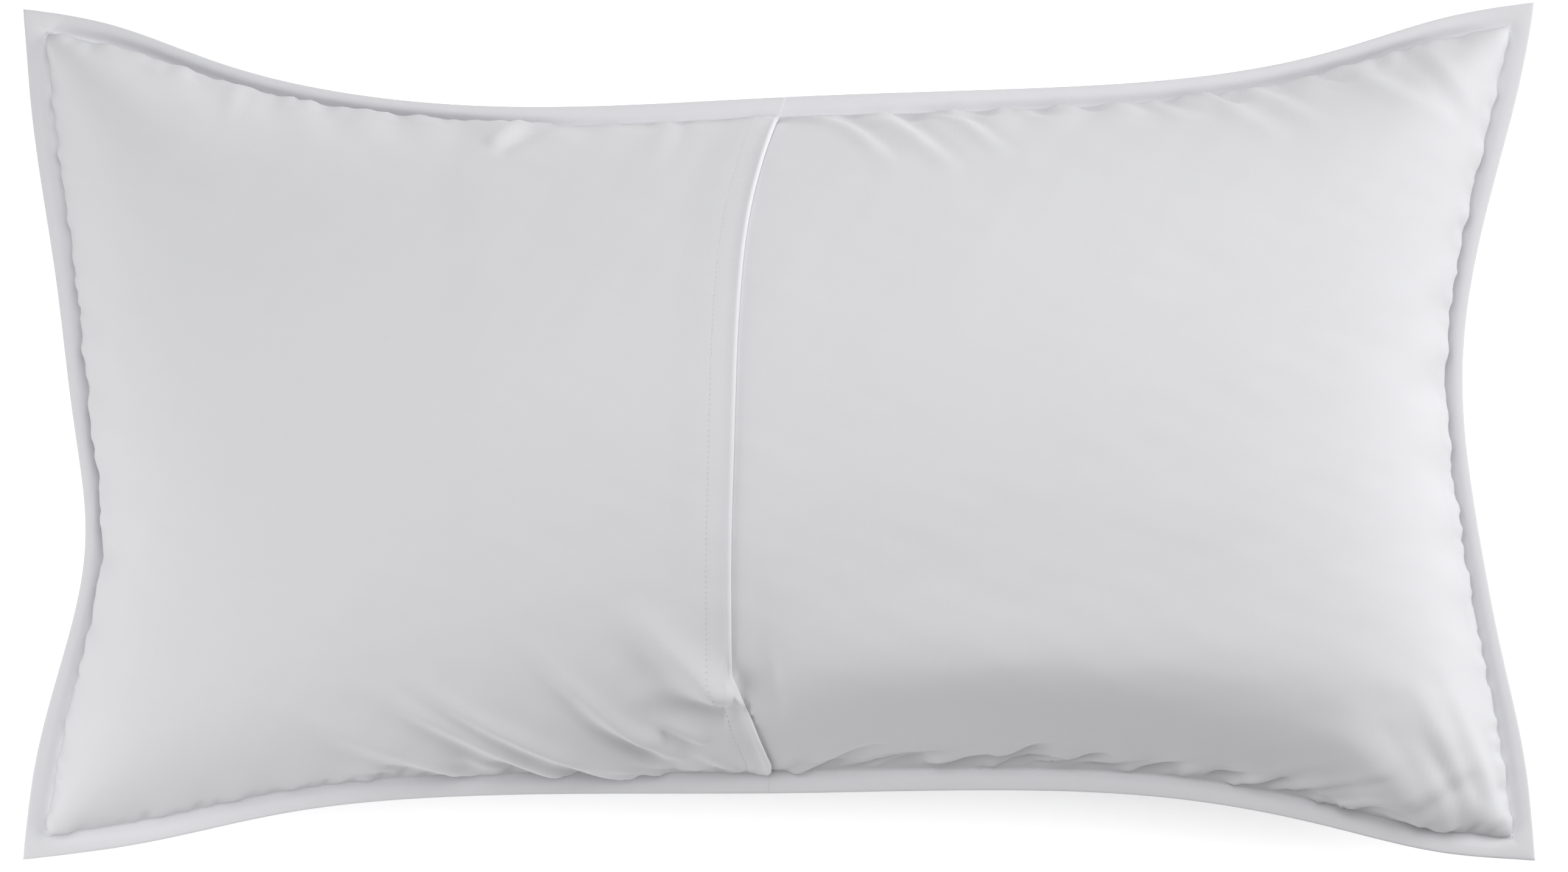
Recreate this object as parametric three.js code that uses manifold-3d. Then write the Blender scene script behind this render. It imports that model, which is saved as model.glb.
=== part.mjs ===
// A filled king-size pillow sham lying on its front face, with its envelope closure upwards.
// Millimetres, +X along the length, +Y towards the top edge, +Z up. The origin is the centre of
// the overall box on the resting plane. The cloth is drawn as a shell of even thickness.
import * as THREE from "three";
import { mergeVertices } from "three/addons/utils/BufferGeometryUtils.js";
import Module from "manifold-3d";

// Overall size, over the flange corners.
const LENGTH = 896;
const WIDTH = 508;
const FLANGE = 12.7;
const SEAM_HEIGHT = 76; // of the flange's middle plane above the resting plane
const CROWN = 116; // of the back panels above the seam plane
const BELLY = 100; // of the front panel below it, before the resting plane flattens it

// How far the middle of each side is drawn in between the corners by the filling.
const SAG_TOP = 54;
const SAG_BOTTOM = 40;
const SAG_LEFT = 37;
const SAG_RIGHT = 41;

// The cloth layers of the flange, as heights above the seam plane, and the slack round the insert.
const CLOTH = 0.8;
const GAP = 0.4;
const THREAD = 0.4;
const THREAD_WIDTH = 0.9;
const SEAM_CORE = 0.35; // half the thickness of the turned-in seam allowance
const SEAM_ALLOWANCE = 7;
const INSERT_INSET = 10.5; // from the sham's seam to the insert's
const INSERT_SLACK = 5.2; // below the sham's crown
const INSERT_MARGIN = 0.5;
const PIPING_INSET = 7;
const PIPING_RADIUS = 1.6;
const CLOSING_SEAM = [-0.998, -0.995]; // across the insert's margin, as the seam is at -1
const LABEL_LENGTH = 40;

// The envelope closure.
const HEM_X = -22; // free edge of the outer flap at the middle of the width
const HEM_WIDTH = 16;
const OVERLAP = 125;
const FLAP_REACH = 110; // from the fold line that the free part lifts about, to its hem
const FLAP_HALF_WIDTH = 140;
const HEM_LIFT = 1.2; // the two turned-in plies under a hem
const HEM_STEP = 2;

const U_CELLS = 18;
const V_CELLS = 12;
const RING_RADIUS = 100; // of a ring before it is drawn out to the outline
const HALF_LENGTH = LENGTH / 2 - FLANGE;
const HALF_WIDTH = WIDTH / 2 - FLANGE;

const matt = (color, roughness) => new THREE.MeshStandardMaterial({ color, roughness, metalness: 0 });
const shamCotton = matt("#e9e9ec", 0.85);
const threadWhite = matt("#f2f2f3", 0.6);
const ticking = matt("#f4f3ef", 0.85);
const filling = matt("#f8f8f6", 0.95);
const tape = matt("#fbfbfa", 0.5);

const pillow = new THREE.Group();

const wasm = await Module();
wasm.setup();

// The sides as fractions of their sag: full at the middle and none at the corners.
const longSag = (u, v) => (v > 0 ? SAG_TOP : SAG_BOTTOM) * (1 - u ** 4) ** 1.9;
const shortSag = (u, v) => (u > 0 ? SAG_RIGHT : SAG_LEFT) * (1 - v ** 2) ** 1.4;

// Fullness from 0 at the seam to 1 at the centre, steep at the seam and thin in the corners.
const fullness = (u, v) => Math.sqrt((1 - u ** 4) * (1 - Math.abs(v) ** 2.6));

// A point of the pillow at u along and v across, each 1 at the seam and 2 at the outer edge of the
// margin outside it. side is 1 for the back of the pillow and -1 for its front.
function pillowPoint(u, v, side, { inset = 0, lift = 0, drop = inset, floor = 0, margin = FLANGE }) {
  const inU = THREE.MathUtils.clamp(u, -1, 1);
  const inV = THREE.MathUtils.clamp(v, -1, 1);
  const x = inU * (HALF_LENGTH - shortSag(inU, inV)) * (1 - inset / HALF_LENGTH);
  const y = inV * (HALF_WIDTH - longSag(inU, inV)) * (1 - inset / HALF_WIDTH);
  const rise = (side > 0 ? CROWN : BELLY) - drop;
  const z = SEAM_HEIGHT + side * (lift + rise * fullness(inU, inV));
  return new THREE.Vector3(x + (u - inU) * margin, y + (v - inV) * margin, Math.max(z, floor));
}

// Lines from the margin's edge to edge, closer together towards the seam, with any others added.
function gridLines(cells, extra = []) {
  const inner = Array.from({ length: cells + 1 }, (_, i) => Math.sin(Math.PI * (i / cells - 0.5)));
  return [-2, ...inner, ...extra, 2].sort((a, b) => a - b);
}

// u and v of a distance from the middle, along the centre lines.
const acrossX = (x) => x / (HALF_LENGTH - shortSag(x, 0));
const acrossY = (y) => y / (HALF_WIDTH - longSag(0, y));

const HEM_EDGE = acrossX(HEM_X);
const HEM_FOLD = acrossX(HEM_X - HEM_WIDTH);
const HEM_FOLD_START = acrossX(HEM_X - HEM_WIDTH - HEM_STEP);
const UNDER_EDGE = acrossX(HEM_X - OVERLAP);
const UNDER_FOLD = acrossX(HEM_X - OVERLAP + HEM_WIDTH);
const UNDER_FOLD_END = acrossX(HEM_X - OVERLAP + HEM_WIDTH + HEM_STEP);
const CLEAR_OF_FLAP = acrossX(HEM_X + 20);

const frontLines = gridLines(U_CELLS);
const backLines = gridLines(U_CELLS, [
  HEM_EDGE, HEM_FOLD, HEM_FOLD_START, UNDER_EDGE, UNDER_FOLD, UNDER_FOLD_END, CLEAR_OF_FLAP,
]);
const vLines = gridLines(V_CELLS);

// A box whose two faces follow lower(u, v) and upper(u, v) over a grid of lines.
function layer(us, vs, lower, upper) {
  const box = new THREE.BoxGeometry(1, 1, 1, us.length - 1, vs.length - 1, 1);
  const position = box.getAttribute("position");
  for (let i = 0; i < position.count; i++) {
    const u = us[Math.round((position.getX(i) + 0.5) * (us.length - 1))];
    const v = vs[Math.round((position.getY(i) + 0.5) * (vs.length - 1))];
    const point = (position.getZ(i) > 0 ? upper : lower)(u, v);
    position.setXYZ(i, point.x, point.y, point.z);
  }
  cutFarFaceAlike(box);
  return bare(box);
}

// A box cuts the cells of its near and far faces along opposite diagonals. Layers nest closely
// only when both are cut alike, so the far face's cells are cut again along the near ones'.
function cutFarFaceAlike(box) {
  const index = box.index.array;
  const { start, count } = box.groups[5];
  for (let i = start; i < start + count; i += 6) {
    const [a, b, d, , c] = index.slice(i, i + 6);
    index.set([a, b, c, a, c, d], i);
  }
}

// A ring that follows the pillow's outline. profile gives [outwards, upwards] from the outline
// drawn inside the seam by inset, or in the flange where inset is negative.
function ring(profile, inset) {
  const rim = rimWalk();
  const points = [...profile, profile[0]].map(([out, up]) => new THREE.Vector2(RING_RADIUS + out, up));
  const lathe = new THREE.LatheGeometry(points, rim.length);
  const position = lathe.getAttribute("position");
  for (let i = 0; i < position.count; i++) {
    const x = position.getX(i);
    const z = position.getZ(i);
    const turn = Math.atan2(x, z) / (2 * Math.PI);
    const [u, v] = rim[(Math.round(turn * rim.length) + rim.length) % rim.length];
    const out = Math.hypot(x, z) - RING_RADIUS;
    const point = pillowPoint(u, v, 1, { inset: inset - out });
    position.setXYZ(i, point.x, point.y, SEAM_HEIGHT + position.getY(i));
  }
  return bare(lathe);
}

// The grid's points along the seam, once round, in the sense that turns a lathe's faces outwards.
function rimWalk() {
  const us = frontLines.slice(1, -1);
  const vs = vLines.slice(1, -1);
  const bottom = us.slice(0, -1).map((u) => [u, -1]);
  const right = vs.slice(0, -1).map((v) => [1, v]);
  const top = us.slice(1).reverse().map((u) => [u, 1]);
  const left = vs.slice(1).reverse().map((v) => [-1, v]);
  return [...bottom, ...right, ...top, ...left];
}

function bare(geometry) {
  geometry.deleteAttribute("normal");
  geometry.deleteAttribute("uv");
  return mergeVertices(geometry, 1e-4);
}

function add(name, geometry, material) {
  geometry.computeVertexNormals();
  const mesh = new THREE.Mesh(geometry, material);
  mesh.name = name;
  pillow.add(mesh);
}

function toSolid(geometry) {
  const vertProperties = geometry.getAttribute("position").array;
  const triVerts = geometry.index.array;
  return new wasm.Manifold(new wasm.Mesh({ numProp: 3, vertProperties, triVerts }));
}

function fromSolid(solid) {
  const { vertProperties, triVerts } = solid.getMesh();
  return new THREE.BufferGeometry()
    .setAttribute("position", new THREE.BufferAttribute(vertProperties, 3))
    .setIndex(new THREE.BufferAttribute(triVerts, 1));
}

// The heights of the layers above the seam plane in the flange, from the bottom up.
const FIRST_PLY = SEAM_CORE + GAP;
const SECOND_PLY = FIRST_PLY + CLOTH + GAP;
const TOP_FACE = SECOND_PLY + CLOTH;

const between = (value, from, to) => THREE.MathUtils.smoothstep(value, from, to);

// The front panel lies on the resting plane.
function frontPanel() {
  const outer = (u, v) => pillowPoint(u, v, -1, { lift: FIRST_PLY + CLOTH });
  const inner = (u, v) => pillowPoint(u, v, -1, {
    inset: CLOTH, lift: FIRST_PLY, floor: CLOTH, margin: FLANGE + CLOTH,
  });
  add("sham_front_panel", layer(frontLines, vLines, outer, inner), shamCotton);
}

// The left back panel is the upper one where they overlap, with its hem standing up on its edge.
const upperFace = (u, v, above = 0) => {
  const hem = HEM_LIFT * between(u, HEM_FOLD_START, HEM_FOLD);
  return pillowPoint(u, v, 1, { lift: TOP_FACE + hem + above });
};

function upperPanel() {
  const us = backLines.filter((u) => u <= HEM_EDGE);
  const under = (u, v) => pillowPoint(u, v, 1, {
    inset: CLOTH, lift: SECOND_PLY, margin: FLANGE + CLOTH,
  });
  return toSolid(layer(us, vLines, under, upperFace));
}

function block(fromX, toX, halfY) {
  const box = new THREE.BoxGeometry(toX - fromX, 2 * halfY, 4 * CROWN);
  box.translate((fromX + toX) / 2, 0, SEAM_HEIGHT);
  return toSolid(bare(box));
}

// The free part of the upper panel lifts about a fold line, and the rest of the panel keeps clear.
function closure() {
  const panel = upperPanel();
  const fold = HEM_X - FLAP_REACH;
  const window = block(fold, HEM_X + HEM_WIDTH, FLAP_HALF_WIDTH);
  const freePart = block(fold + GAP, HEM_X + HEM_WIDTH, FLAP_HALF_WIDTH - GAP);
  add("back_panel_left", fromSolid(panel.subtract(window)), shamCotton);
  add("overlap_flap", fromSolid(panel.intersect(freePart)), shamCotton);

  const us = [HEM_FOLD, acrossX(HEM_X - HEM_WIDTH + THREAD_WIDTH)];
  const reach = FLAP_HALF_WIDTH - HEM_STEP;
  const ends = [acrossY(-reach), acrossY(reach)];
  const vs = [ends[0], ...vLines.filter((v) => v > ends[0] && v < ends[1]), ends[1]];
  const base = (u, v) => upperFace(u, v, GAP);
  const crest = (u, v) => upperFace(u, v, GAP + THREAD);
  add("overlap_hem_stitching", layer(us, vs, base, crest), threadWhite);
}

// The right back panel runs on under the left one as the under flap, and rises beside its hem.
function lowerPanel() {
  const us = backLines.filter((u) => u >= UNDER_EDGE);
  const rise = (u) => (SECOND_PLY - FIRST_PLY) * between(u, HEM_EDGE, CLEAR_OF_FLAP);
  const over = (u, v) => {
    const inset = CLOTH + GAP;
    return pillowPoint(u, v, 1, { inset, lift: FIRST_PLY + CLOTH + rise(u), margin: FLANGE + inset });
  };
  const under = (u, v) => {
    const inset = 2 * CLOTH + GAP;
    const drop = inset + HEM_LIFT * (1 - between(u, UNDER_FOLD, UNDER_FOLD_END));
    return pillowPoint(u, v, 1, { inset, drop, lift: FIRST_PLY + rise(u), margin: FLANGE + inset });
  };
  add("back_panel_right", layer(us, vLines, under, over), shamCotton);

  const below = (depth) => (u, v) => under(u, v).sub(new THREE.Vector3(0, 0, depth));
  const threadLines = [acrossX(HEM_X - OVERLAP + HEM_WIDTH - THREAD_WIDTH), UNDER_FOLD];
  const stitching = layer(threadLines, vLines.slice(2, -2), below(GAP + THREAD), below(GAP));
  add("under_hem_stitching", stitching, threadWhite);
}

// A ring's section: so wide outwards from the ring's line, and so thick upwards from a height.
const section = (width, thickness, from) => [
  [0, from], [width, from], [width, from + thickness], [0, from + thickness],
];

// The seam thread along the flange's edge, the allowances turned in beside it, and the stitching
// along the flange's inner line, seen on both faces.
function flange() {
  const seamThread = section(THREAD_WIDTH, THREAD, -THREAD / 2);
  const threadLine = GAP + THREAD_WIDTH - FLANGE;
  add("edge_seam_thread", ring(seamThread, threadLine), threadWhite);
  const allowance = section(SEAM_ALLOWANCE, 2 * SEAM_CORE, -SEAM_CORE);
  add("edge_seam_allowance", ring(allowance, threadLine + GAP + SEAM_ALLOWANCE), shamCotton);

  const backThread = section(THREAD_WIDTH, THREAD, TOP_FACE + HEM_LIFT + GAP);
  const frontThread = section(THREAD_WIDTH, THREAD, -FIRST_PLY - CLOTH - GAP - THREAD);
  add("flange_stitching_back", ring(backThread, -HEM_STEP), threadWhite);
  add("flange_stitching_front", ring(frontThread, -HEM_STEP), threadWhite);
}

// A surface of the insert on one side, at a depth below its outer face.
function insertFace(side, depth) {
  const inset = INSERT_INSET + depth;
  const drop = INSERT_SLACK + depth;
  const lift = GAP + CLOTH - Math.min(depth, CLOTH);
  const floor = CLOTH + GAP + depth;
  const margin = INSERT_MARGIN + depth;
  return (u, v) => pillowPoint(u, v, side, { inset, drop, lift, floor, margin });
}

// Two ticking panels sewn together round a piping, with one bag of fibre inside.
function insert() {
  const upper = layer(backLines, vLines, insertFace(1, CLOTH), insertFace(1, 0));
  add("insert_ticking_top", upper, ticking);
  const lower = layer(frontLines, vLines, insertFace(-1, 0), insertFace(-1, CLOTH));
  add("insert_ticking_bottom", lower, ticking);

  const inside = (lines) => lines.slice(1, -1);
  const bagDepth = 2 * (CLOTH + GAP);
  const bagFace = (side) => insertFace(side, bagDepth);
  add("insert_fibre_fill", layer(inside(backLines), inside(vLines), bagFace(-1), bagFace(1)), filling);

  const corners = Array.from({ length: 6 }, (_, i) => (i * Math.PI) / 3);
  const round = corners.map((a) => [PIPING_RADIUS * Math.cos(a), PIPING_RADIUS * Math.sin(a)]);
  add("insert_piping", ring(round, PIPING_INSET), ticking);
}

// A surface just above the insert's upper ticking and its margin.
const overInsert = (height) => (u, v) => pillowPoint(u, v, 1, {
  inset: INSERT_INSET - 1 - height, drop: INSERT_SLACK - height, lift: 4 * GAP + height,
});

// The thread that closes the left-hand end of the insert after filling.
function closingSeam() {
  const vs = vLines.filter((v) => Math.abs(v) < 0.6);
  const stitching = layer(CLOSING_SEAM, vs, overInsert(0), overInsert(THREAD));
  add("insert_closing_stitching", stitching, threadWhite);
}

// Two blank tapes, caught in the sham's top seam and in the insert's right-hand seam.
function labels() {
  const half = LABEL_LENGTH / 2;
  const about = (middle, reach) => [middle - reach, middle, middle + reach];
  const careFace = (inset, lift) => (u, v) => pillowPoint(u, v, 1, { inset, drop: inset - GAP, lift });
  const inset = INSERT_INSET / 3;
  const care = layer(about(acrossX(-LENGTH / 4), acrossX(half)), [0.95, 0.98, 1],
    careFace(inset, 2 * GAP), careFace(inset - THREAD, 3 * GAP));
  add("care_label", care, tape);

  const law = layer([0.985, 0.993, 1], about(acrossY(-WIDTH / 5), acrossY(half)),
    overInsert(0), overInsert(THREAD));
  add("insert_label", law, tape);
}

frontPanel();
lowerPanel();
closure();
flange();
insert();
closingSeam();
labels();

export default pillow;
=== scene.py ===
import math

import bpy
import numpy as np
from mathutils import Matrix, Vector


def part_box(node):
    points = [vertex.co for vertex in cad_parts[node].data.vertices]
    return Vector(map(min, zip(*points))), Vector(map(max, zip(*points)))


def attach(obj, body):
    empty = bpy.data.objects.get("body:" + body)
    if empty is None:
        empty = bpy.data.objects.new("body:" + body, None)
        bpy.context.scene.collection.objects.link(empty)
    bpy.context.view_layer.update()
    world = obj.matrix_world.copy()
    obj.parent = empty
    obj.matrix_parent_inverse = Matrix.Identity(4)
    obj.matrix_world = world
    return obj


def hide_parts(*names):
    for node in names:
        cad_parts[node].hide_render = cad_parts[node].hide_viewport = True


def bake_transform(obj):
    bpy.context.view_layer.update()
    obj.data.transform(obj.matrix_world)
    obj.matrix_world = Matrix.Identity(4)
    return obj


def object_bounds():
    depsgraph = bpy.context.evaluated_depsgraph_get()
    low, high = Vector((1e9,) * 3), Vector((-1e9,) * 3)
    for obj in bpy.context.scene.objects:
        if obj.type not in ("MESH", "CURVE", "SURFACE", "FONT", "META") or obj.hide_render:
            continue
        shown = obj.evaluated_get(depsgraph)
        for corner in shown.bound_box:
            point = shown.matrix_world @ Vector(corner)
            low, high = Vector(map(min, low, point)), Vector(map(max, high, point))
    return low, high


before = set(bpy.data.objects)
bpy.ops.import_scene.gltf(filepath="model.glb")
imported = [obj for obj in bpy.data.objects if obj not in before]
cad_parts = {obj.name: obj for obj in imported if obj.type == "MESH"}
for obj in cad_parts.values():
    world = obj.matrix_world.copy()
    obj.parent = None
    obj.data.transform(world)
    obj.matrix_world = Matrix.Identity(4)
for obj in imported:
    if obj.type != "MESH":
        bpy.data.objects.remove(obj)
CAD_LOW, CAD_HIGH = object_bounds()

# ---- sizes, in metres
MM = 0.001
INCH = 0.0254
LENGTH = CAD_HIGH.x - CAD_LOW.x
WIDTH = CAD_HIGH.y - CAD_LOW.y
TOP = CAD_HIGH.z

FLANGE = INCH / 2
SEAM_LENGTH = 35 * INCH
SEAM_WIDTH = 19.5 * INCH
HALF_A = SEAM_LENGTH / 2 + FLANGE
HALF_B = SEAM_WIDTH / 2 + FLANGE
FLAT_TO_REST = LENGTH / (2 * HALF_A)

CLOTH = 0.7 * MM
LAYER_GAP = 0.35 * MM
EDGE_ROUND = 1.6 * MM
EDGE_GAP = 0.06 * MM
FLANGE_PUFF = 0.5 * MM
STITCH_GROOVE = 0.45 * MM
GROOVE_WIDTH = 1.3 * MM
STITCH_PITCH = 3.0 * MM
STITCH_LENGTH = 2.4 * MM
THREAD = 0.24 * MM
HEM_THREAD = 0.17 * MM
SEAM_THREAD = 0.1 * MM
SEAM_THREAD_INSET = 1.2 * MM
ALLOWANCE_START = 0.8 * MM
ALLOWANCE_WIDTH = 7 * MM
ALLOWANCE_HALF = 0.12 * MM
ALLOWANCE_LINES = 6

HEM_WIDTH = 16 * MM
HEM_THICKNESS = 2.5 * MM
HEM_RISE = 1.3 * MM
HEM_FADE = 24 * MM
HEM_STITCH = 14.5 * MM
HEM_ROLL = 0.9 * MM
HEM_GROOVE = 0.05 * MM
HEM_GROOVE_WIDTH = 1.1 * MM
HEM_ROUND = 1.9 * MM
HEM_ROUND_BELOW = 3.4 * MM
KINK_FADE = 25 * MM
OVERLAP_RISE = 1.1 * MM
OVERLAP_FADE = 30 * MM
PRESSED_RISE = 0.15
PRESSED_OUT = 3 * MM
PRESSED_IN = 5 * MM
SEWN_REACH = 3 * MM
THINNEST = 0.05 * MM
LAYERS_APART = 0.03 * MM
UNDER_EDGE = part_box("back_panel_right")[0].x / FLAT_TO_REST

INSERT_INSET = 15 * MM
INSERT_SCALE = 0.977
INSERT_CLEARANCE = 6 * MM
FILL_CLEARANCE = 8.5 * MM
EDGE_CLEARANCE = 5 * MM
EDGE_REACH = 15 * MM
EDGE_ROUNDING = 35 * MM
EDGE_LEAST = 0.03
FILL_INSET = 2.5 * MM
PIPING_RADIUS = 1.6 * MM
PIPING_STEP = 3 * MM
CARE_LABEL = (43 * MM, 39 * MM)
INSERT_LABEL = (33 * MM, 50 * MM)

# The edges of the flange as this pillow lies, seen from above: (x, y) along the long
# sides and (y, x) along the short ones, in millimetres, with a smooth curve through them.
TOP_EDGE = [(-448, 250), (-400, 243), (-335, 220), (-270, 203), (-160, 192), (0, 197.5),
            (150, 203), (250, 210), (335, 227), (400, 247), (448, 254)]
BOTTOM_EDGE = [(-448, -254), (-375, -244.5), (-300, -228), (-200, -217), (0, -214.5),
               (155, -213), (235, -218), (330, -236), (395, -251), (448, -254)]
LEFT_EDGE = [(-254, -448), (-199, -442), (-127, -423), (-66, -411), (0, -418),
             (90, -429), (180, -442.5), (254, -448)]
RIGHT_EDGE = [(-254, 448), (-199, 443.5), (-127, 428), (-66, 416.5), (26, 405.5),
              (90, 411), (161, 428), (233, 445), (254, 448)]

# The free hem's edge, (y, x) in millimetres: a bow, and below its kink a straight run.
HEM_BOW = [(-140, -27), (-60, -27), (-8, -25.5), (85, -21.5), (137, -14), (197, 5)]
HEM_KINK = -140
HEM_FOOT = (-194, -4.5)


# ---- small functions
def smoothstep(low, high, value):
    share = np.clip((value - low) / (high - low), 0, 1)
    return share * share * (3 - 2 * share)


def smooth_curve(points):
    """The natural cubic through (place, value) points, as a function of the place."""
    place, value = np.array(points, float).T
    step = np.diff(place)
    count = len(place)
    system = np.eye(count)
    for i in range(1, count - 1):
        system[i, i - 1 : i + 2] = step[i - 1], 2 * (step[i - 1] + step[i]), step[i]
    bend = np.linalg.solve(system, np.pad(6 * np.diff(np.diff(value) / step), 1))

    def curve(at):
        at = np.clip(at, place[0], place[-1])
        i = np.clip(np.searchsorted(place, at) - 1, 0, count - 2)
        before, after = at - place[i], place[i + 1] - at
        cubic = (bend[i] * after**3 + bend[i + 1] * before**3) / (6 * step[i])
        first = (value[i] / step[i] - bend[i] * step[i] / 6) * after
        last = (value[i + 1] / step[i] - bend[i + 1] * step[i] / 6) * before
        return cubic + first + last

    return curve


def edge_curve(points):
    curve = smooth_curve(points)
    return lambda place: curve(place / MM) * MM


def unit(vectors):
    return vectors / np.maximum(np.linalg.norm(vectors, axis=-1, keepdims=True), 1e-12)


def cubic_weights(t):
    """Catmull-Rom weights of four neighbours, t of the way between the middle two."""
    return (
        -0.5 * t + t**2 - 0.5 * t**3,
        1 - 2.5 * t**2 + 1.5 * t**3,
        0.5 * t + 2 * t**2 - 1.5 * t**3,
        -0.5 * t**2 + 0.5 * t**3,
    )


# ---- the cloth simulation
# Two flat sheets, 0 the back and 1 the front, are sewn together in the flange and blown
# up by the insert: a soft gas holds its volume, and the fill's own weight spreads it.
TIME_STEP = 1 / 600
DAMPING = 0.93
GAS = 4000
VOLUME = 0.0470
FILL_WEIGHT = 3 * 9.81
CLOTH_WEIGHT = 0.2 * 9.81
SHEAR = 0.1
COARSE = {"cell": INCH / 2, "steps": 500, "rounds": 3, "mass": 0.6, "bending": 0.1}
FINE = {"cell": INCH / 4, "steps": 300, "rounds": 4, "mass": 3.0, "bending": 0.02}
START_SEAM = 0.088
START_CROWN = 0.112
START_BELLY = 0.098
START_SHRINK = 0.97
START_WAIST_X = 0.10
START_WAIST_Y = 0.19
# The flange is stiffened over these strides of grid lines, by these amounts, up to a reach.
FLANGE_STIFFNESS = ((1, 0.6), (2, 0.6), (4, 0.4))
STIFF_REACH = 0.06


def flat_lines(half, cell):
    """Flat coordinates of the cloth's grid lines, evenly spaced from edge to edge."""
    count = round(2 * half / cell)
    return (np.arange(count + 1) - count / 2) * cell


def start_shape(a, b):
    """A rough pillow over the flat lines, from which the simulation starts."""
    u = np.clip(a / (SEAM_LENGTH / 2), -1, 1)[:, None]
    v = np.clip(b / (SEAM_WIDTH / 2), -1, 1)[None, :]
    fullness = np.sqrt((1 - u**4) * (1 - np.abs(v) ** 2.6))
    cloth = np.zeros((2, len(a), len(b), 3))
    cloth[..., 0] = a[:, None] * (1 - START_WAIST_X * (1 - v**2) ** 1.4) * START_SHRINK
    cloth[..., 1] = b[None, :] * (1 - START_WAIST_Y * (1 - u**4) ** 1.9) * START_SHRINK
    cloth[0, ..., 2] = START_SEAM + START_CROWN * fullness
    cloth[1, ..., 2] = np.maximum(0, START_SEAM - START_BELLY * fullness)
    return cloth


def pairs(count):
    """Slices that pair each line with the next one, the even lines first."""
    for first in (0, 1):
        end = first + 2 * ((count - first) // 2)
        yield slice(first, end, 2), slice(first + 1, end + 1, 2)


def springs(across, up, cell):
    """(points, their neighbours, rest length, stiffness) of the yarns and the diagonals."""
    every, low, high = slice(None), slice(0, up - 1), slice(1, up)
    made = [((p, every), (q, every), cell, 1) for p, q in pairs(across)]
    made += [((every, p), (every, q), cell, 1) for p, q in pairs(up)]
    for p, q in pairs(across):
        made.append(((p, low), (q, high), cell * math.sqrt(2), SHEAR))
        made.append(((p, high), (q, low), cell * math.sqrt(2), SHEAR))
    return made


def pull(near, far, rest, stiffness):
    """Moves both ends of each spring towards its rest length."""
    span = far - near
    length = np.sqrt(np.einsum("...k,...k->...", span, span))
    span *= (stiffness / 2 * (1 - rest / np.maximum(length, 1e-9)))[..., None]
    near += span
    far -= span


def straighten(cloth, stiffness, axis, stride=1):
    """Moves each point towards the middle of its neighbours, and them away from it."""
    count = cloth.shape[axis]

    def part(start, stop):
        return (slice(None),) * axis + (slice(start, stop),)

    middle = part(stride, count - stride)
    before, after = part(0, count - 2 * stride), part(2 * stride, count)
    curl = (cloth[before] + cloth[after] - 2 * cloth[middle]) * (stiffness / 4)
    cloth[middle] += curl
    cloth[before] -= curl / 2
    cloth[after] -= curl / 2


def rims_of(cloth, rims):
    """The four strips of the grid that are the flange, and the axis that each runs along."""
    return (
        (cloth[:, :, : rims + 1], 1),
        (cloth[:, :, -rims - 1 :], 1),
        (cloth[:, : rims + 1], 2),
        (cloth[:, -rims - 1 :], 2),
    )


def hold_flange(cloth, rims, cell):
    """Keeps the flange stiff along its length, and its two layers together."""
    for strip, axis in rims_of(cloth, rims):
        for stride, stiffness in FLANGE_STIFFNESS:
            if 2 * stride * cell <= STIFF_REACH:
                straighten(strip, stiffness, axis, stride)
    for strip, _ in rims_of(cloth, rims):
        strip[:] = strip.mean(0)


def stand_on_floor(cloth, before):
    """Keeps the cloth above the floor, with friction where it rests."""
    under = cloth[..., 2] < 0
    cloth[..., 2] = np.maximum(cloth[..., 2], 0)
    for axis in (0, 1):
        cloth[under, axis] = (cloth[under, axis] + before[under, axis]) / 2


def push(cloth, inside, mass, cell):
    """The acceleration of each point from the fill's pressure and the cloth's weight."""
    along, up = np.zeros_like(cloth), np.zeros_like(cloth)
    along[:, 1:-1] = (cloth[:, 2:] - cloth[:, :-2]) / 2
    up[:, :, 1:-1] = (cloth[:, :, 2:] - cloth[:, :, :-2]) / 2
    outward = np.cross(along, up) * inside
    outward[1] *= -1
    volume = (outward * cloth).sum() / 3
    gas = max(0, GAS * (1 - volume / VOLUME))
    depth = cloth[0, ..., 2].max() - cloth[..., 2:]
    force = outward * (gas + FILL_WEIGHT * depth) / (mass * cell**2)
    force[..., 2] -= CLOTH_WEIGHT / mass
    return force


def simulate(cloth, cell, steps, rounds, mass, bending):
    """Runs the cloth to rest."""
    rims = round(FLANGE / cell)
    across, up = cloth.shape[1:3]
    inside = np.zeros((across, up, 1))
    inside[rims + 1 : -rims - 1, rims + 1 : -rims - 1] = 1
    yarns = springs(across, up, cell)
    speed = np.zeros_like(cloth)
    for _ in range(steps):
        before = cloth.copy()
        cloth = cloth + speed * TIME_STEP + push(cloth, inside, mass, cell) * TIME_STEP**2
        for _ in range(rounds):
            for near, far, rest, stiffness in yarns:
                pull(cloth[(slice(None),) + near], cloth[(slice(None),) + far], rest, stiffness)
            straighten(cloth, bending, 1)
            straighten(cloth, bending, 2)
            hold_flange(cloth, rims, cell)
            stand_on_floor(cloth, before)
        speed = (cloth - before) / TIME_STEP * DAMPING
        cloth[..., :2] -= cloth[..., :2].mean((0, 1, 2))
    return cloth


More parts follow.
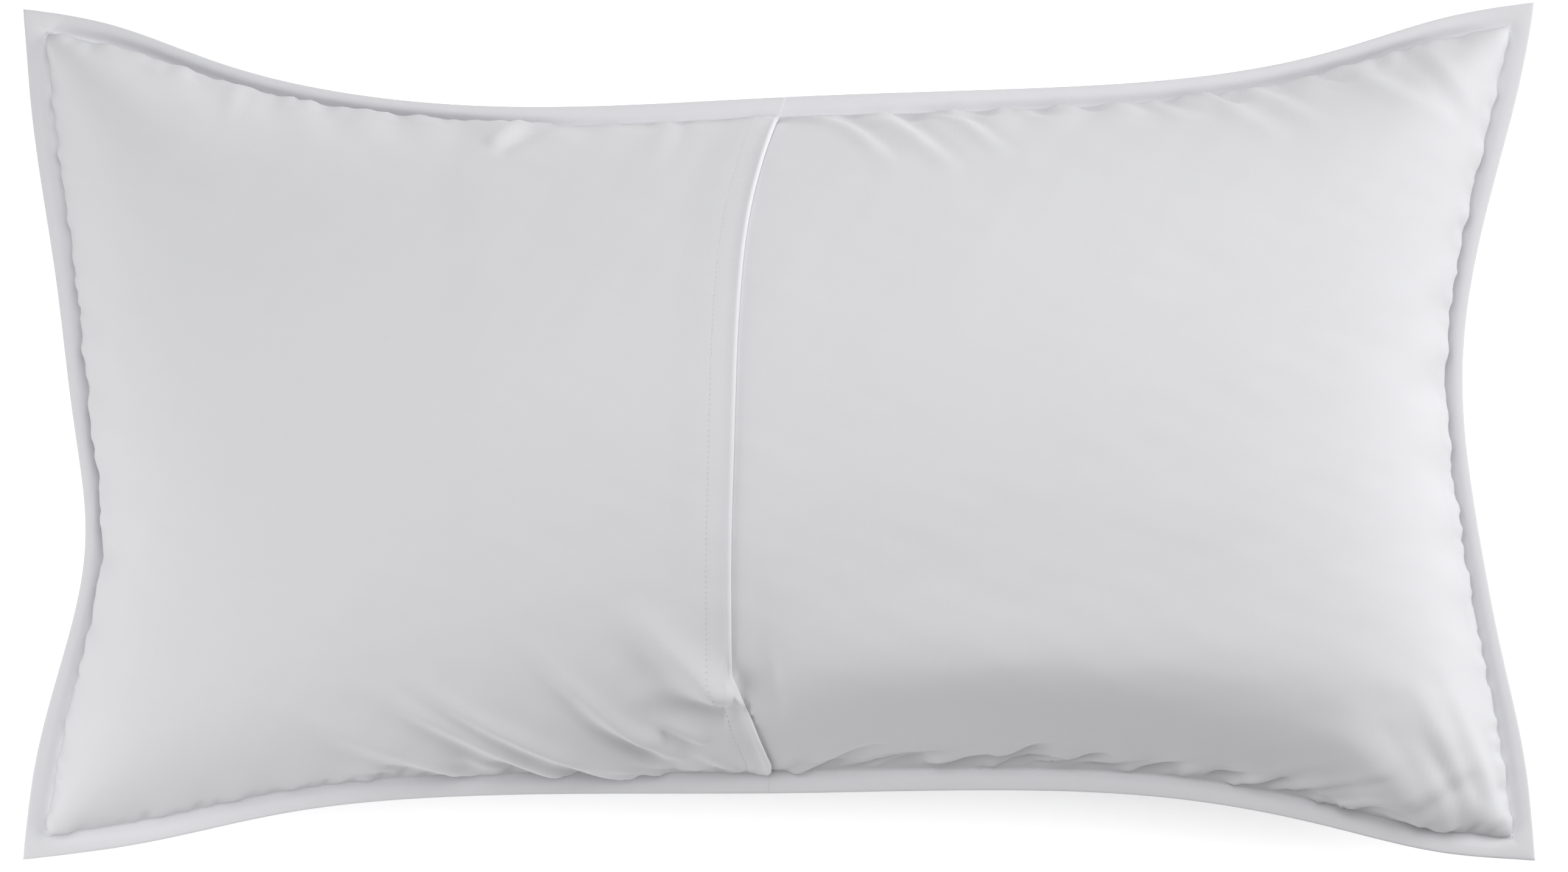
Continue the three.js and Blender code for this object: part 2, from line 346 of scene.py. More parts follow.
class Grid:
    """A smooth surface through a regular grid of points over flat coordinates."""

    def __init__(self, points, cell):
        self.points = np.pad(points, ((1, 1), (1, 1), (0, 0)), mode="reflect", reflect_type="odd")
        self.cell = cell

    def at(self, a, b):
        across, up = self.points.shape[:2]
        place_a = a / self.cell + (across - 1) / 2
        place_b = b / self.cell + (up - 1) / 2
        i = np.clip(np.floor(place_a).astype(int), 1, across - 3)
        j = np.clip(np.floor(place_b).astype(int), 1, up - 3)
        weights_a = cubic_weights(place_a - i)
        weights_b = cubic_weights(place_b - j)
        found = 0
        for p in range(4):
            row = sum(weights_b[q][..., None] * self.points[i + p - 1, j + q - 1] for q in range(4))
            found = found + weights_a[p][..., None] * row
        return found


def refine(cloth, old_cell, cell):
    """The same cloth on a finer grid."""
    a, b = np.meshgrid(flat_lines(HALF_A, cell), flat_lines(HALF_B, cell), indexing="ij")
    return np.stack([Grid(side, old_cell).at(a, b) for side in cloth])


def soften(values, reach=6):
    """Values along a line, averaged with their neighbours."""
    window = np.hanning(2 * reach + 3)[1:-1]
    long = np.pad(values, reach, mode="edge")
    return np.convolve(long, window / window.sum(), mode="valid")


def draw_edges(cloth):
    """Moves the cloth sideways, so that the flange's edges lie where this pillow's do."""
    sides = ((1, (BOTTOM_EDGE, TOP_EDGE)), (0, (LEFT_EDGE, RIGHT_EDGE)))
    for axis, (low_edge, high_edge) in sides:
        along = 1 - axis
        scales = []
        for points, rim in ((low_edge, 0), (high_edge, -1)):
            line = cloth[0].take(rim, axis=axis)
            scale = soften(edge_curve(points)(line[:, along]) / line[:, axis])
            scales.append(np.interp(cloth[..., along], line[:, along], scale))
        spread = np.abs(cloth[..., axis]).max() / 2
        share = smoothstep(-spread, spread, cloth[..., axis])
        cloth[..., axis] *= scales[0] * (1 - share) + scales[1] * share
    return cloth


def inflated_cloth():
    """Both sides of the sham at rest, and their grid's cell."""
    cell = COARSE["cell"]
    cloth = simulate(start_shape(flat_lines(HALF_A, cell), flat_lines(HALF_B, cell)), **COARSE)
    cloth = simulate(refine(cloth, cell, FINE["cell"]), **FINE)
    cell = FINE["cell"]
    cloth[..., 0] *= LENGTH / np.ptp(cloth[..., 0])
    cloth[..., 1] *= WIDTH / np.ptp(cloth[..., 1])
    lift = LAYER_GAP + CLOTH + EDGE_GAP
    height = TOP - 2 * lift - OVERLAP_RISE - HEM_RISE
    cloth[..., 2] = lift + cloth[..., 2] * height / cloth[..., 2].max()
    return draw_edges(cloth), cell


# ---- folds and puckers
# Folds of the back as this pillow lies: start, a point on the way and end (x, y), half
# width, height, and the side where a trough goes with it. All in millimetres.
FOLDS = [
    ((-98, -206), (-158, -188), (-246, -144), 6.0, 6.2, 1),
    ((-54, -202), (-136, -184), (-222, -140), 5.5, 6.8, 1),
    ((-150, -208), (-210, -193), (-296, -160), 7, 4.0, 1),
    ((-68, -178), (-98, -165), (-146, -124), 6.0, 5.4, 1),
    ((-56, -188), (-80, -180), (-118, -160), 4.5, 3.6, 1),
    ((-26, -147), (-48, -139), (-92, -99), 11, 9.5, 1),
    ((-26, -151), (-48, -150), (-92, -152), 9, 4.2, 1),
    ((-42, -180), (-56, -174), (-80, -162), 3.6, 2.4, 1),
    ((-26, -197), (-37, -192), (-56, -182), 3.0, 1.8, 1),
    ((-170, 166), (-150, 178), (-116, 190), 5.0, 3.6, -1),
    ((-60, 184), (-66, 174), (-74, 150), 6, 1.2, 1),
    ((10, 190), (38, 178), (70, 150), 4.5, 3.0, 1),
    ((30, 195), (64, 181), (108, 146), 5, 3.6, 1),
    ((84, 194), (108, 180), (136, 156), 4.5, 2.4, 1),
    ((236, 203), (262, 190), (300, 168), 6, 2.4, 1),
    ((268, 208), (292, 194), (322, 178), 5, 1.8, 1),
    ((330, 214), (362, 198), (398, 180), 7, 2.4, 1),
    ((372, 228), (394, 210), (412, 180), 6, 1.8, -1),
    ((437, 247), (429, 236), (420, 220), 3, 1.8, 1),
    ((428, 251), (419, 243), (408, 233), 3, 1.6, -1),
    ((406, -246), (368, -213), (316, -164), 16, 7.0, -1),
    ((410, -228), (396, -196), (366, -142), 4.6, 1.3, 1),
    ((422, -218), (409, -186), (384, -132), 4.6, 1.4, 1),
    ((398, -234), (384, -206), (350, -158), 4.6, 0.9, 1),
    ((436, -234), (430, -208), (416, -166), 4, 1.2, 1),
    ((-2, -142), (165, -132), (362, -156), 38, 11.0, -1),
    ((-416, -80), (-398, -70), (-370, -60), 9, -2.2, 1),
    ((-320, 204), (-322, 194), (-324, 178), 4, 1.0, 1),
]
FOLD_PLACES = 25
FOLD_PEAK = 0.35
FOLD_FADE = (-2 * MM, 12 * MM)
# No hollow is deeper than this share of its distance from the seam, so that the back and
# the front stay apart.
HOLLOW_SLOPE = 0.32
PUCKER_SEED = 11
# Where the seam gathers the cloth: the side (along x or y, and its sign), the stretch,
# the spacing, length, width along the seam, height and lean of its puckers, all in mm
# but for the lean, which is how far they run along the seam for each step inward.
LONG_BELOW, LONG_ABOVE, SHORT_LEFT, SHORT_RIGHT = (0, -1), (0, 1), (1, -1), (1, 1)
GATHERS = [
    (LONG_BELOW, (8, 340), 24, 24, 8.0, 3.2, -1.6),
    (LONG_BELOW, (8, 340), 27, 46, 9.0, 1.6, -1.1),
    (LONG_BELOW, (-430, 430), 14, 15, 4.2, 0.7, -0.3),
    (LONG_BELOW, (-240, -30), 21, 30, 6.0, 0.8, 1.2),
    (LONG_ABOVE, (-430, 430), 15, 16, 4.2, 0.6, 0.2),
    (LONG_ABOVE, (10, 330), 27, 34, 6.0, 1.2, -0.8),
    (SHORT_LEFT, (-235, 235), 15, 15, 4.2, 0.6, 0.2),
    (SHORT_RIGHT, (-235, 235), 15, 16, 4.2, 0.7, -0.2),
]
PUCKER_CHANGE = 0.4
PUCKER_PEAK = 0.42
PUCKER_START = 4 * MM
# The pocket beside a pucker: its depth and length as shares of the pucker's own, its place
# and width in widths of the pucker, and where along it it is deepest.
POCKET_DEPTH = 2.0
POCKET_LENGTH = 0.8
POCKET_ASIDE = 1.6
POCKET_WIDTH = 1.1
POCKET_PEAK = 0.4

# How far the cloth bulges over the flange just inside its stitching, along each side:
# (place on the flat cut, bulge), in millimetres.
BULGES = {
    LONG_ABOVE: [(-445, 0.6), (-385, 4.0), (-290, 4.8), (-190, 4.2), (-130, 1.2), (-60, 0),
                 (10, 0), (90, 1.2), (300, 3.0), (400, 3.0), (445, 0.5)],
    LONG_BELOW: [(-445, 0.4), (-300, 0.6), (-150, 0.2), (-60, 0.2), (10, 0.3), (300, 0.6),
                 (445, 0.6)],
    SHORT_LEFT: [(-247, 0.6), (-150, 2.4), (-80, 4.4), (60, 3.4), (247, 0.8)],
    SHORT_RIGHT: [(-247, 0.8), (-100, 3.6), (100, 4.0), (247, 0.8)],
}
BULGE_REACH = 6 * MM
BULGE_FADE = 14 * MM
SINK = 1.25
SINK_ON_FLANGE = 5.5 * MM
SINK_INSIDE = 2 * MM

DRAPE_SEED = 5
DRAPE_WAVES = 26
DRAPE_LENGTHS = (18 * MM, 90 * MM)
DRAPE_HEIGHT = 0.16 * MM
DRAPE_FADE = 60 * MM


def bump(t, peak, roundness=1.6):
    """A rounded hump over t from 0 to 1, of height 1 at its peak."""
    t = np.clip(t, 0, 1)
    rise = (t / peak) ** (roundness * peak)
    return rise * ((1 - t) / (1 - peak)) ** (roundness * (1 - peak))


def fold_height(x, y, start, way, end, width, height, side):
    """Height of one fold over points x, y."""
    corners = start, way, end = np.array([start, way, end]) * MM
    reach = 4 * width * MM
    places = np.stack([x, y], -1)
    near = ((places > corners.min(0) - reach) & (places < corners.max(0) + reach)).all(-1)
    points = places[near]
    handle = 2 * way - (start + end) / 2
    t = np.linspace(0, 1, FOLD_PLACES)[:, None]
    line = start * (1 - t) ** 2 + handle * 2 * t * (1 - t) + end * t**2
    best = np.full(len(points), np.inf)
    along, aside = np.zeros(len(points)), np.zeros(len(points))
    for k in range(FOLD_PLACES - 1):
        step = line[k + 1] - line[k]
        share = np.clip((points - line[k]) @ step / (step @ step), 0, 1)
        gap = points - line[k] - share[:, None] * step
        distance = np.linalg.norm(gap, axis=1)
        closer = distance < best
        best = np.where(closer, distance, best)
        along = np.where(closer, (k + share) / (FOLD_PLACES - 1), along)
        turn = np.sign(step[0] * gap[:, 1] - step[1] * gap[:, 0])
        aside = np.where(closer, turn * distance, aside)
    raised = np.zeros_like(x)
    raised[near] = height * MM * crease(side * aside / (width * MM)) * bump(along, FOLD_PEAK)
    return raised


def crease(q, trough=0.6, beside=1.45):
    """A ridge with a shallower trough on one side of it."""
    return np.exp(-np.abs(q) ** 1.7) - trough * np.exp(-((q - beside) ** 2) / 0.8)


def seam_puckers():
    """One (side, place, length, width, height, lean) for each pucker, in metres."""
    rng = np.random.default_rng(PUCKER_SEED)
    made = []
    for side, (low, high), spacing, *shape in GATHERS:
        place = low
        while place < high:
            length, width, height, lean = shape * rng.uniform(1 - PUCKER_CHANGE, 1 + PUCKER_CHANGE, 4)
            made.append((side, place * MM, length * MM, width * MM, height * MM, lean))
            place += spacing * rng.uniform(1 - PUCKER_CHANGE, 1 + PUCKER_CHANGE)
    return made


def inward_of(a, b, side):
    """Places along a side's seam, and distances inward from it, over flat coordinates."""
    axis, sign = side
    if axis == 0:
        return a, SEAM_WIDTH / 2 - sign * b
    return b, SEAM_LENGTH / 2 - sign * a


PUCKERS = seam_puckers()
BULGE_CURVES = {side: edge_curve(points) for side, points in BULGES.items()}


def pucker_height(a, b):
    """Height of the puckers over flat coordinates: each a ridge, and a pocket beside it."""
    raised = np.zeros_like(a)
    for side, place, length, width, height, lean in PUCKERS:
        along, inward = inward_of(a, b, side)
        near = (inward > 0) & (inward < length)
        inward = inward[near]
        q = (along[near] - place + lean * inward) / width
        ridge = np.exp(-(q**2)) * bump(inward / length, PUCKER_PEAK)
        ridge *= smoothstep(0, PUCKER_START, inward)
        pocket = np.exp(-(((q - POCKET_ASIDE) / POCKET_WIDTH) ** 2))
        pocket *= bump(inward / length / POCKET_LENGTH, POCKET_PEAK)
        raised[near] += height * (ridge - POCKET_DEPTH * pocket)
    return raised


def bulge_height(a, b, outward):
    """How far the cloth bulges just inside its stitching. Beside a bulge the seam and the inner
    half of the flange sink towards the floor, on both sides alike."""
    raised = np.zeros_like(a)
    for side, curve in BULGE_CURVES.items():
        along, inward = inward_of(a, b, side)
        other = rim_distance(a, 0 * b) if side[0] == 0 else rim_distance(0 * a, b)
        bulge = curve(along) * smoothstep(FLANGE, FLANGE + BULGE_FADE, other)
        reach = np.maximum(inward, 0) / BULGE_REACH
        sink_reach = np.where(inward < 0, SINK_ON_FLANGE, SINK_INSIDE)
        sunk = SINK * np.exp(-((inward / sink_reach) ** 2))
        raised += bulge * (reach * np.exp(1 - reach) - outward * sunk)
    return raised


def drape_height(x, y):
    """The faint unevenness of soft cloth over fibre fill."""
    rng = np.random.default_rng(DRAPE_SEED)
    total = np.zeros_like(x)
    for _ in range(DRAPE_WAVES):
        heading = rng.uniform(0, math.tau)
        wave = math.tau / rng.uniform(*DRAPE_LENGTHS)
        shift = rng.uniform(0, math.tau)
        total += np.sin((x * math.cos(heading) + y * math.sin(heading)) * wave + shift)
    return total * DRAPE_HEIGHT / math.sqrt(DRAPE_WAVES / 2)


def kept_shallow(raised, inward):
    """Heights whose hollows get no deeper than a share of their distance from the seam."""
    deepest = HOLLOW_SLOPE * np.maximum(inward, 0.01 * MM)
    return np.maximum(raised, 0) + deepest * np.tanh(np.minimum(raised, 0) / deepest)


class Side:
    """One side of the sham: where each point of its flat cut lies, and which way is out."""

    def __init__(self, points, cell, outward, folds):
        self.grid = Grid(points, cell)
        self.outward = outward
        self.folds = folds

    def normal(self, a, b):
        along = self.grid.at(a + MM, b) - self.grid.at(a - MM, b)
        up = self.grid.at(a, b + MM) - self.grid.at(a, b - MM)
        return unit(np.cross(along, up)) * self.outward

    def relief(self, a, b, points):
        """How far folds, puckers and bulges raise the cloth over its smooth shape."""
        a, b = np.broadcast_arrays(a, b)
        x, y = points[..., 0], points[..., 1]
        inward = rim_distance(a, b) - FLANGE
        folded = drape_height(x, y) * smoothstep(0, DRAPE_FADE, inward)
        for fold in self.folds:
            folded += fold_height(x, y, *fold) * smoothstep(*FOLD_FADE, inward)
        raised = kept_shallow(folded, inward) + kept_shallow(pucker_height(a, b), inward)
        return raised + bulge_height(a, b, self.outward)

    def place(self, a, b):
        """Points and normals over flat coordinates, folds included."""
        points = self.grid.at(a, b)
        normals = self.normal(a, b)
        return lifted(points, normals, self.relief(a, b, points)), normals

    def room(self, a, b):
        """Points that the insert stays inside: the hollows count, and what stands out doesn't."""
        points = self.grid.at(a, b)
        return lifted(points, self.normal(a, b), np.minimum(self.relief(a, b, points), 0))


def lifted(points, normals, level):
    """Points moved along their normals."""
    return points + normals * level[..., None]


def rim_distance(a, b):
    """How far inside the flange's outer edge a point of the flat cut is."""
    return np.minimum(HALF_A - np.abs(a), HALF_B - np.abs(b))


cloth, cell = inflated_cloth()
back = Side(cloth[0], cell, 1, FOLDS)
front = Side(cloth[1], cell, -1, [])


# ---- meshes
def mesh_object(name, points, *faces, flat=None):
    """A smooth-shaded object. flat holds each point's place on the cloth's flat cut."""
    mesh = bpy.data.meshes.new(name)
    mesh.from_pydata(points.reshape(-1, 3).tolist(), [], sum([part.tolist() for part in faces], []))
    mesh.shade_smooth()
    if flat is not None:
        places = mesh.attributes.new("flat", "FLOAT_VECTOR", "POINT")
        places.data.foreach_set("vector", flat.astype(np.float32).ravel())
    mesh.validate()
    made = bpy.data.objects.new(name, mesh)
    bpy.context.scene.collection.objects.link(made)
    return made


def numbered(points):
    """The numbers of a grid's points, row by row."""
    return np.arange(points[..., 0].size).reshape(points.shape[:-1])


def faces_over(number):
    """Faces between neighbouring rows and columns of one or more grids of point numbers."""
    corners = number[..., :-1, :-1], number[..., 1:, :-1], number[..., 1:, 1:], number[..., :-1, 1:]
    return np.stack(corners, -1).reshape(-1, 4)


def flat_places(a, b):
    return np.stack([a, b, 0 * a], -1).reshape(-1, 3)


def shell(name, outer, inner, a, b, outward=1):
    """A closed piece of cloth between an outer and an inner grid of points."""
    number = numbered(outer)
    count = number.size
    rim = np.concatenate([number[:-1, 0], number[-1, :-1], number[:0:-1, -1], number[0, :0:-1]])
    after = np.roll(rim, -1)
    wall = np.stack([rim, rim + count, after + count, after], -1)
    faces = np.concatenate([faces_over(number), faces_over(number + count)[:, ::-1], wall])
    flat = flat_places(*np.broadcast_arrays(a, b))
    return mesh_object(name, np.stack([outer, inner]), faces[:, ::outward],
                       flat=np.concatenate([flat, flat + [0, 0, MM]]))


def layer(name, points, normals, outer, inner, a, b):
    """A closed piece of cloth between two levels over points and their normals."""
    return shell(name, lifted(points, normals, outer), lifted(points, normals, inner), a, b)


def closed_band(name, rings, a, b):
    """A piece over a grid of points that closes on itself both ways."""
    number = np.pad(numbered(rings), ((0, 1), (0, 1)), mode="wrap")
    return mesh_object(name, rings, faces_over(number)[:, ::-1], flat=flat_places(a, b))


def rim_rounding(a, b):
    """0 at the flange's outer edge, rising in a quarter circle to 1."""
    share = np.clip(rim_distance(a, b) / EDGE_ROUND, 0, 1)
    return np.sqrt(1 - (1 - share) ** 2)


def sewn_relief(a, b):
    """The flange's puff inside its edge, and the groove of its stitching."""
    distance = rim_distance(a, b)
    puff = FLANGE_PUFF * np.sin(np.pi * np.clip(distance / FLANGE, 0, 1)) ** 2
    groove = STITCH_GROOVE * np.exp(-(((distance - FLANGE) / GROOVE_WIDTH) ** 2))
    return puff - groove


def outer_level(a, b):
    """How far the outer face of a panel is from the sewn layers' middle."""
    return EDGE_GAP + rim_rounding(a, b) * (LAYER_GAP + CLOTH) + sewn_relief(a, b)


def inner_level(a, b):
    """How far the inner face of a panel is from the sewn layers' middle."""
    return EDGE_GAP / 2 + rim_rounding(a, b) * LAYER_GAP + sewn_relief(a, b)


RIM_LINES = np.array([0, 0.25, 0.7, 1.6, 3.2, 5, 7, 9, 10.6, 11.7, 12.7, 13.7, 15, 17, 19.5, 22.5]) * MM
HEM_LINES = np.array([0, 0.08, 0.3, 0.7, 1.2, 1.8, 2.5, 3.5, 5.5, 8, 10.5, 12.5, 13.7, 14.5,
                      15.3, 15.9, 16.2, 17.5, 20, 23]) * MM
ACROSS_STEP = 3.4 * MM
DENSE_STEP = 2.2 * MM
DENSE_BAND = 70 * MM
ALONG_STEP = 3.2 * MM
FRONT_STEP = 4.4 * MM


def cut_lines(half, step, band=0, dense=1):
    """Grid lines across a panel, close together where the flange is sewn, and at the dense
    step over a band beside it."""
    inner = half - RIM_LINES[-1]
    core = inner - band
    middle = np.linspace(-core, core, 2 * round(core / step) + 1)
    beside = np.linspace(-inner, -core, round(band / dense) + 1)[:-1]
    near = np.concatenate([RIM_LINES[:-1] - half, beside])
    return np.concatenate([near, middle, -near[::-1]])


def hem_x(y):
    """Where the free hem's edge lies, over y, in metres."""
    bow = edge_curve(HEM_BOW)(y)
    kink = np.array(HEM_BOW[0]) * MM
    foot = np.array(HEM_FOOT) * MM
    straight = kink[1] + (foot[1] - kink[1]) * np.clip((y - kink[0]) / (foot[0] - kink[0]), 0, 1)
    return np.where(y > HEM_KINK * MM, bow, straight)


def hem_line(b):
    """The free hem's flat coordinate a over b."""
    a = np.zeros_like(b)
    for _ in range(12):
        points = back.grid.at(a, b)
        a = a + hem_x(points[..., 1]) - points[..., 0]
    return a


def overlap_share(a):
    """0 where the left panel lies alone, 1 where it lies on the right one."""
    return smoothstep(UNDER_EDGE - OVERLAP_FADE, UNDER_EDGE - 1 * MM, a)


def left_outer_level(a, b, from_hem):
    """The outer face of the left panel, which rises over the right one and at its own hem."""
    rise = OVERLAP_RISE * overlap_share(a)
    rise = rise + HEM_RISE * (1 - smoothstep(HEM_WIDTH, HEM_WIDTH + HEM_FADE, from_hem))
    rise = rise + HEM_ROLL * np.exp(-(((from_hem - HEM_ROUND) / HEM_ROUND) ** 2))
    groove = HEM_GROOVE * np.exp(-(((from_hem - HEM_STITCH) / HEM_GROOVE_WIDTH) ** 2))
    pressed = smoothstep(FLANGE - PRESSED_OUT, FLANGE + PRESSED_IN, rim_distance(a, b))
    rise = rise * (PRESSED_RISE + (1 - PRESSED_RISE) * pressed)
    return outer_level(a, b) + rim_rounding(a, b) * (rise - groove)


def hemmed(outer, from_edge, roundness, least=0.04):
    """Outer and inner levels of a panel with a hem turned in at its free edge."""
    thickness = np.where(from_edge < HEM_WIDTH + THINNEST, HEM_THICKNESS, CLOTH)
    fold = np.sqrt(1 - (1 - np.clip(from_edge / roundness, 0, 1)) ** 2)
    middle = outer - thickness / 2
    half = thickness / 2 * np.maximum(fold, least)
    return middle + half, middle - half


def left_panel():
    b = cut_lines(HALF_B, ACROSS_STEP, DENSE_BAND, DENSE_STEP)[None, :]
    hem = hem_line(b[0])[None, :]
    start, end = RIM_LINES[-1] - HALF_A, hem - HEM_LINES[-1]
    share = np.linspace(0, 1, round((end.mean() - start) / ALONG_STEP) + 1)[:, None]
    rim = (RIM_LINES[:-1] - HALF_A)[:, None] + 0 * b
    a = np.concatenate([rim, start + (end - start) * share, hem - HEM_LINES[-2::-1, None]])
    from_hem = hem - a
    points, normals = back.place(a, b)
    below = smoothstep(0, -KINK_FADE, points[..., 1] - HEM_KINK * MM)
    roundness = HEM_ROUND + (HEM_ROUND_BELOW - HEM_ROUND) * below
    level_out, level_in = hemmed(left_outer_level(a, b, from_hem), from_hem, roundness)
    lowest = np.where(a > UNDER_EDGE - MM, outer_level(a, b) + LAYERS_APART, inner_level(a, b))
    level_in = np.minimum(np.maximum(level_in, lowest), level_out - THINNEST)
    panel = layer("left_back_panel", points, normals, level_out, level_in, a, b)
    # Painted highlight: how much lighter the cloth's colour is along the hem's rounded edge, fading out
    # where the flange is sewn.
    painted_hem_highlight = np.exp(-((from_hem / roundness) ** 2))
    painted_hem_highlight *= smoothstep(FLANGE, FLANGE + PRESSED_IN, rim_distance(a, b))
    highlight_values = panel.data.attributes.new("painted_hem_highlight", "FLOAT", "POINT")
    highlight_values.data.foreach_set("value", np.tile(painted_hem_highlight.ravel(), 2).astype(np.float32))
    return panel


def right_panel():
    b = cut_lines(HALF_B, ACROSS_STEP, DENSE_BAND, DENSE_STEP)[None, :]
    start, end = UNDER_EDGE + HEM_LINES[-1], HALF_A - RIM_LINES[-1]
    field = np.linspace(start, end, round((end - start) / ALONG_STEP) + 1)
    a = np.concatenate([UNDER_EDGE + HEM_LINES[:-1], field, HALF_A - RIM_LINES[-2::-1]])[:, None]
    points, normals = back.place(a, b)
    level_out, level_in = hemmed(outer_level(a, b), a - UNDER_EDGE, HEM_ROUND)
    sewn = rim_distance(a, b) < FLANGE + SEWN_REACH
    level_in = np.where(sewn, np.maximum(level_in, inner_level(a, b)), level_in)
    level_in = np.minimum(level_in, level_out - THINNEST)
    return layer("right_back_panel", points, normals, level_out, level_in, a, b)


def front_panel():
    a = cut_lines(HALF_A, FRONT_STEP)[:, None]
    b = cut_lines(HALF_B, FRONT_STEP)[None, :]
    points, normals = front.place(a, b)
    outer = lifted(points, normals, outer_level(a, b))
    inner = lifted(points, normals, inner_level(a, b))
    outer[..., 2] = np.maximum(outer[..., 2], 0)
    inner[..., 2] = np.maximum(inner[..., 2], outer[..., 2] + 0.3 * CLOTH)
    return shell("front_panel", outer, inner, a, b, -1)


def stitch_row(name, places, ahead, up, length=STITCH_LENGTH, radius=THREAD):
    """A row of stitches in one mesh: each is a short thread that dips in at both ends."""
    rings, sides, tip, arch = 7, 6, 0.12, 0.7
    t = np.linspace(-1, 1, rings)[:, None]
    turn = np.arange(sides) * math.tau / sides
    girth = radius * np.maximum(np.sqrt(1 - t**2), tip)
    along = t * length / 2 + 0 * turn
    above = radius * arch * (1 - 2 * t**2) + girth * np.sin(turn)
    ahead = unit(ahead)
    across = unit(np.cross(up, ahead))
    points = places[:, None, None]
    for amount, way in ((along, ahead), (girth * np.cos(turn), across), (above, up)):
        points = points + amount[..., None] * way[:, None, None]
    number = numbered(points)
    walls = faces_over(np.pad(number, ((0, 0), (0, 0), (0, 1)), mode="wrap"))[:, ::-1]
    return mesh_object(name, points, walls, number[:, 0, ::-1], number[:, -1])


def spaced(count):
    """The middles of equal parts of a length of 1."""
    return (np.arange(count) + 0.5) / count


def rectangle_walk(half_a, half_b, pitch):
    """Flat coordinates and headings of evenly spaced places round a rectangle."""
    corners = np.array([(-1, -1), (1, -1), (1, 1), (-1, 1)]) * [half_a, half_b]
    places, headings = [], []
    for start, end in zip(corners, np.roll(corners, -1, 0)):
        length = np.linalg.norm(end - start)
        share = spaced(round(length / pitch))[:, None]
        places.append(start + (end - start) * share)
        headings.append((end - start) / length + 0 * share)
    return np.concatenate(places), np.concatenate(headings)


def on_side(side, a, b, heading, level):
    """Places, headings and normals of stitches on a side of the sham."""
    points, normals = side.place(a, b)
    step_a, step_b = heading.T * MM / 2
    ahead = side.grid.at(a + step_a, b + step_b) - side.grid.at(a - step_a, b - step_b)
    return lifted(points, normals, level), ahead, normals


def back_level(a, b):
    """The outer face of whichever back panel shows."""
    hem = hem_line(b)
    return np.where(a < hem, left_outer_level(a, b, np.maximum(hem - a, 0)), outer_level(a, b))


def flange_stitches(name, side, level):
    places, heading = rectangle_walk(SEAM_LENGTH / 2, SEAM_WIDTH / 2, STITCH_PITCH)
    a, b = places.T
    return stitch_row(name, *on_side(side, a, b, heading, level(a, b)))


def hem_stitches(name, line, level):
    """Stitches along a hem, from flange to flange."""
    b = (spaced(round(SEAM_WIDTH / STITCH_PITCH)) - 0.5) * SEAM_WIDTH
    a = line(b)
    heading = unit(np.stack([line(b + MM) - line(b - MM), np.full_like(b, 2 * MM)], -1))
    return stitch_row(name, *on_side(back, a, b, heading, level(a, b)), radius=HEM_THREAD)


def seam_stitches():
    """The seam's own thread, just inside the flange's outer edge."""
    inset = SEAM_THREAD_INSET
    places, heading = rectangle_walk(HALF_A - inset, HALF_B - inset, STITCH_PITCH)
    a, b = places.T
    return stitch_row("edge_seam_stitches", *on_side(back, a, b, heading, 0 * a), radius=SEAM_THREAD)


def sewn_allowance():
    """The seam allowance turned into the flange, as a thin band all round."""
    u, v = rectangle_walk(1, 1, 0.01)[0].T
    distance = ALLOWANCE_START + np.linspace(0, ALLOWANCE_WIDTH, ALLOWANCE_LINES)[:, None]
    a, b = u * (HALF_A - distance), v * (HALF_B - distance)
    points, normals = back.place(a, b)
    half = normals * ALLOWANCE_HALF
    rings = np.concatenate([points + half, (points - half)[::-1]])
    return closed_band("turned_allowance", rings, *(np.concatenate([p, p[::-1]]) for p in (a, b)))


def ring_tube(name, points, normals, radius, sides=10):
    """A closed tube along a closed line of points, which are one step of the piping apart."""
    ahead = unit(np.roll(points, -1, 0) - np.roll(points, 1, 0))
    across = unit(np.cross(normals, ahead))
    up = np.cross(ahead, across)
    turn = np.arange(sides)[:, None] * math.tau / sides
    rings = points[:, None] + radius * (np.cos(turn) * across[:, None] + np.sin(turn) * up[:, None])
    arc = np.arange(len(points))[:, None] * PIPING_STEP
    return closed_band(name, rings, *np.broadcast_arrays(arc, turn.T * radius))


# ---- inside the sham
INSERT_A = SEAM_LENGTH / 2 - INSERT_INSET
INSERT_B = SEAM_WIDTH / 2 - INSERT_INSET
TICKING = 0.6 * MM
TICKING_STEP = 6 * MM
TICKING_OUT = 0.35 * MM
TICKING_IN = 0.14 * MM
FILL_LUMPS = 1.2 * MM
FILL_STEP = 7 * MM
# The grid lines of the insert are spaced by a sine, up to this angle at its edge.
EDGE_ANGLE = 0.85 * math.pi / 2
WHIP_COUNT = 46
WHIP_SPAN = 232 * MM
WHIP_INSET = 7 * MM
WHIP_LENGTH = 5 * MM
WHIP_LIFT = 0.6 * MM
WHIP_THREAD = 0.3 * MM
WHIP_HEADING = (1, 0.6, 0.4)
LABEL_HALF = 0.35 * MM
LABEL_WAVE = 0.25 * MM
LABEL_WAVES = (160, 120)
LABEL_LINES = (24, 20)


def insert_place(a, b, side=1, clearance=INSERT_CLEARANCE, inset=0):
    """A point of the insert: inside the sham by the clearance, and closed at its edge."""
    drawn_in = np.array([INSERT_SCALE, INSERT_SCALE, 1])
    above, below = back.room(a, b) * drawn_in, front.room(a, b) * drawn_in
    middle, half = (above + below) / 2, (above - below) / 2
    size = np.linalg.norm(half, axis=-1)
    edge = np.minimum(INSERT_A - inset - np.abs(a), INSERT_B - inset - np.abs(b))
    clearance = clearance + EDGE_CLEARANCE * np.exp(-np.maximum(edge, 0) / EDGE_REACH)
    closing = np.sqrt(1 - (1 - np.clip(edge / EDGE_ROUNDING, 0, 1)) ** 2)
    kept = np.maximum(size - clearance, 0) * np.maximum(closing, EDGE_LEAST) / np.maximum(size, 1e-6)
    return middle + side * half * kept[..., None], unit(half)


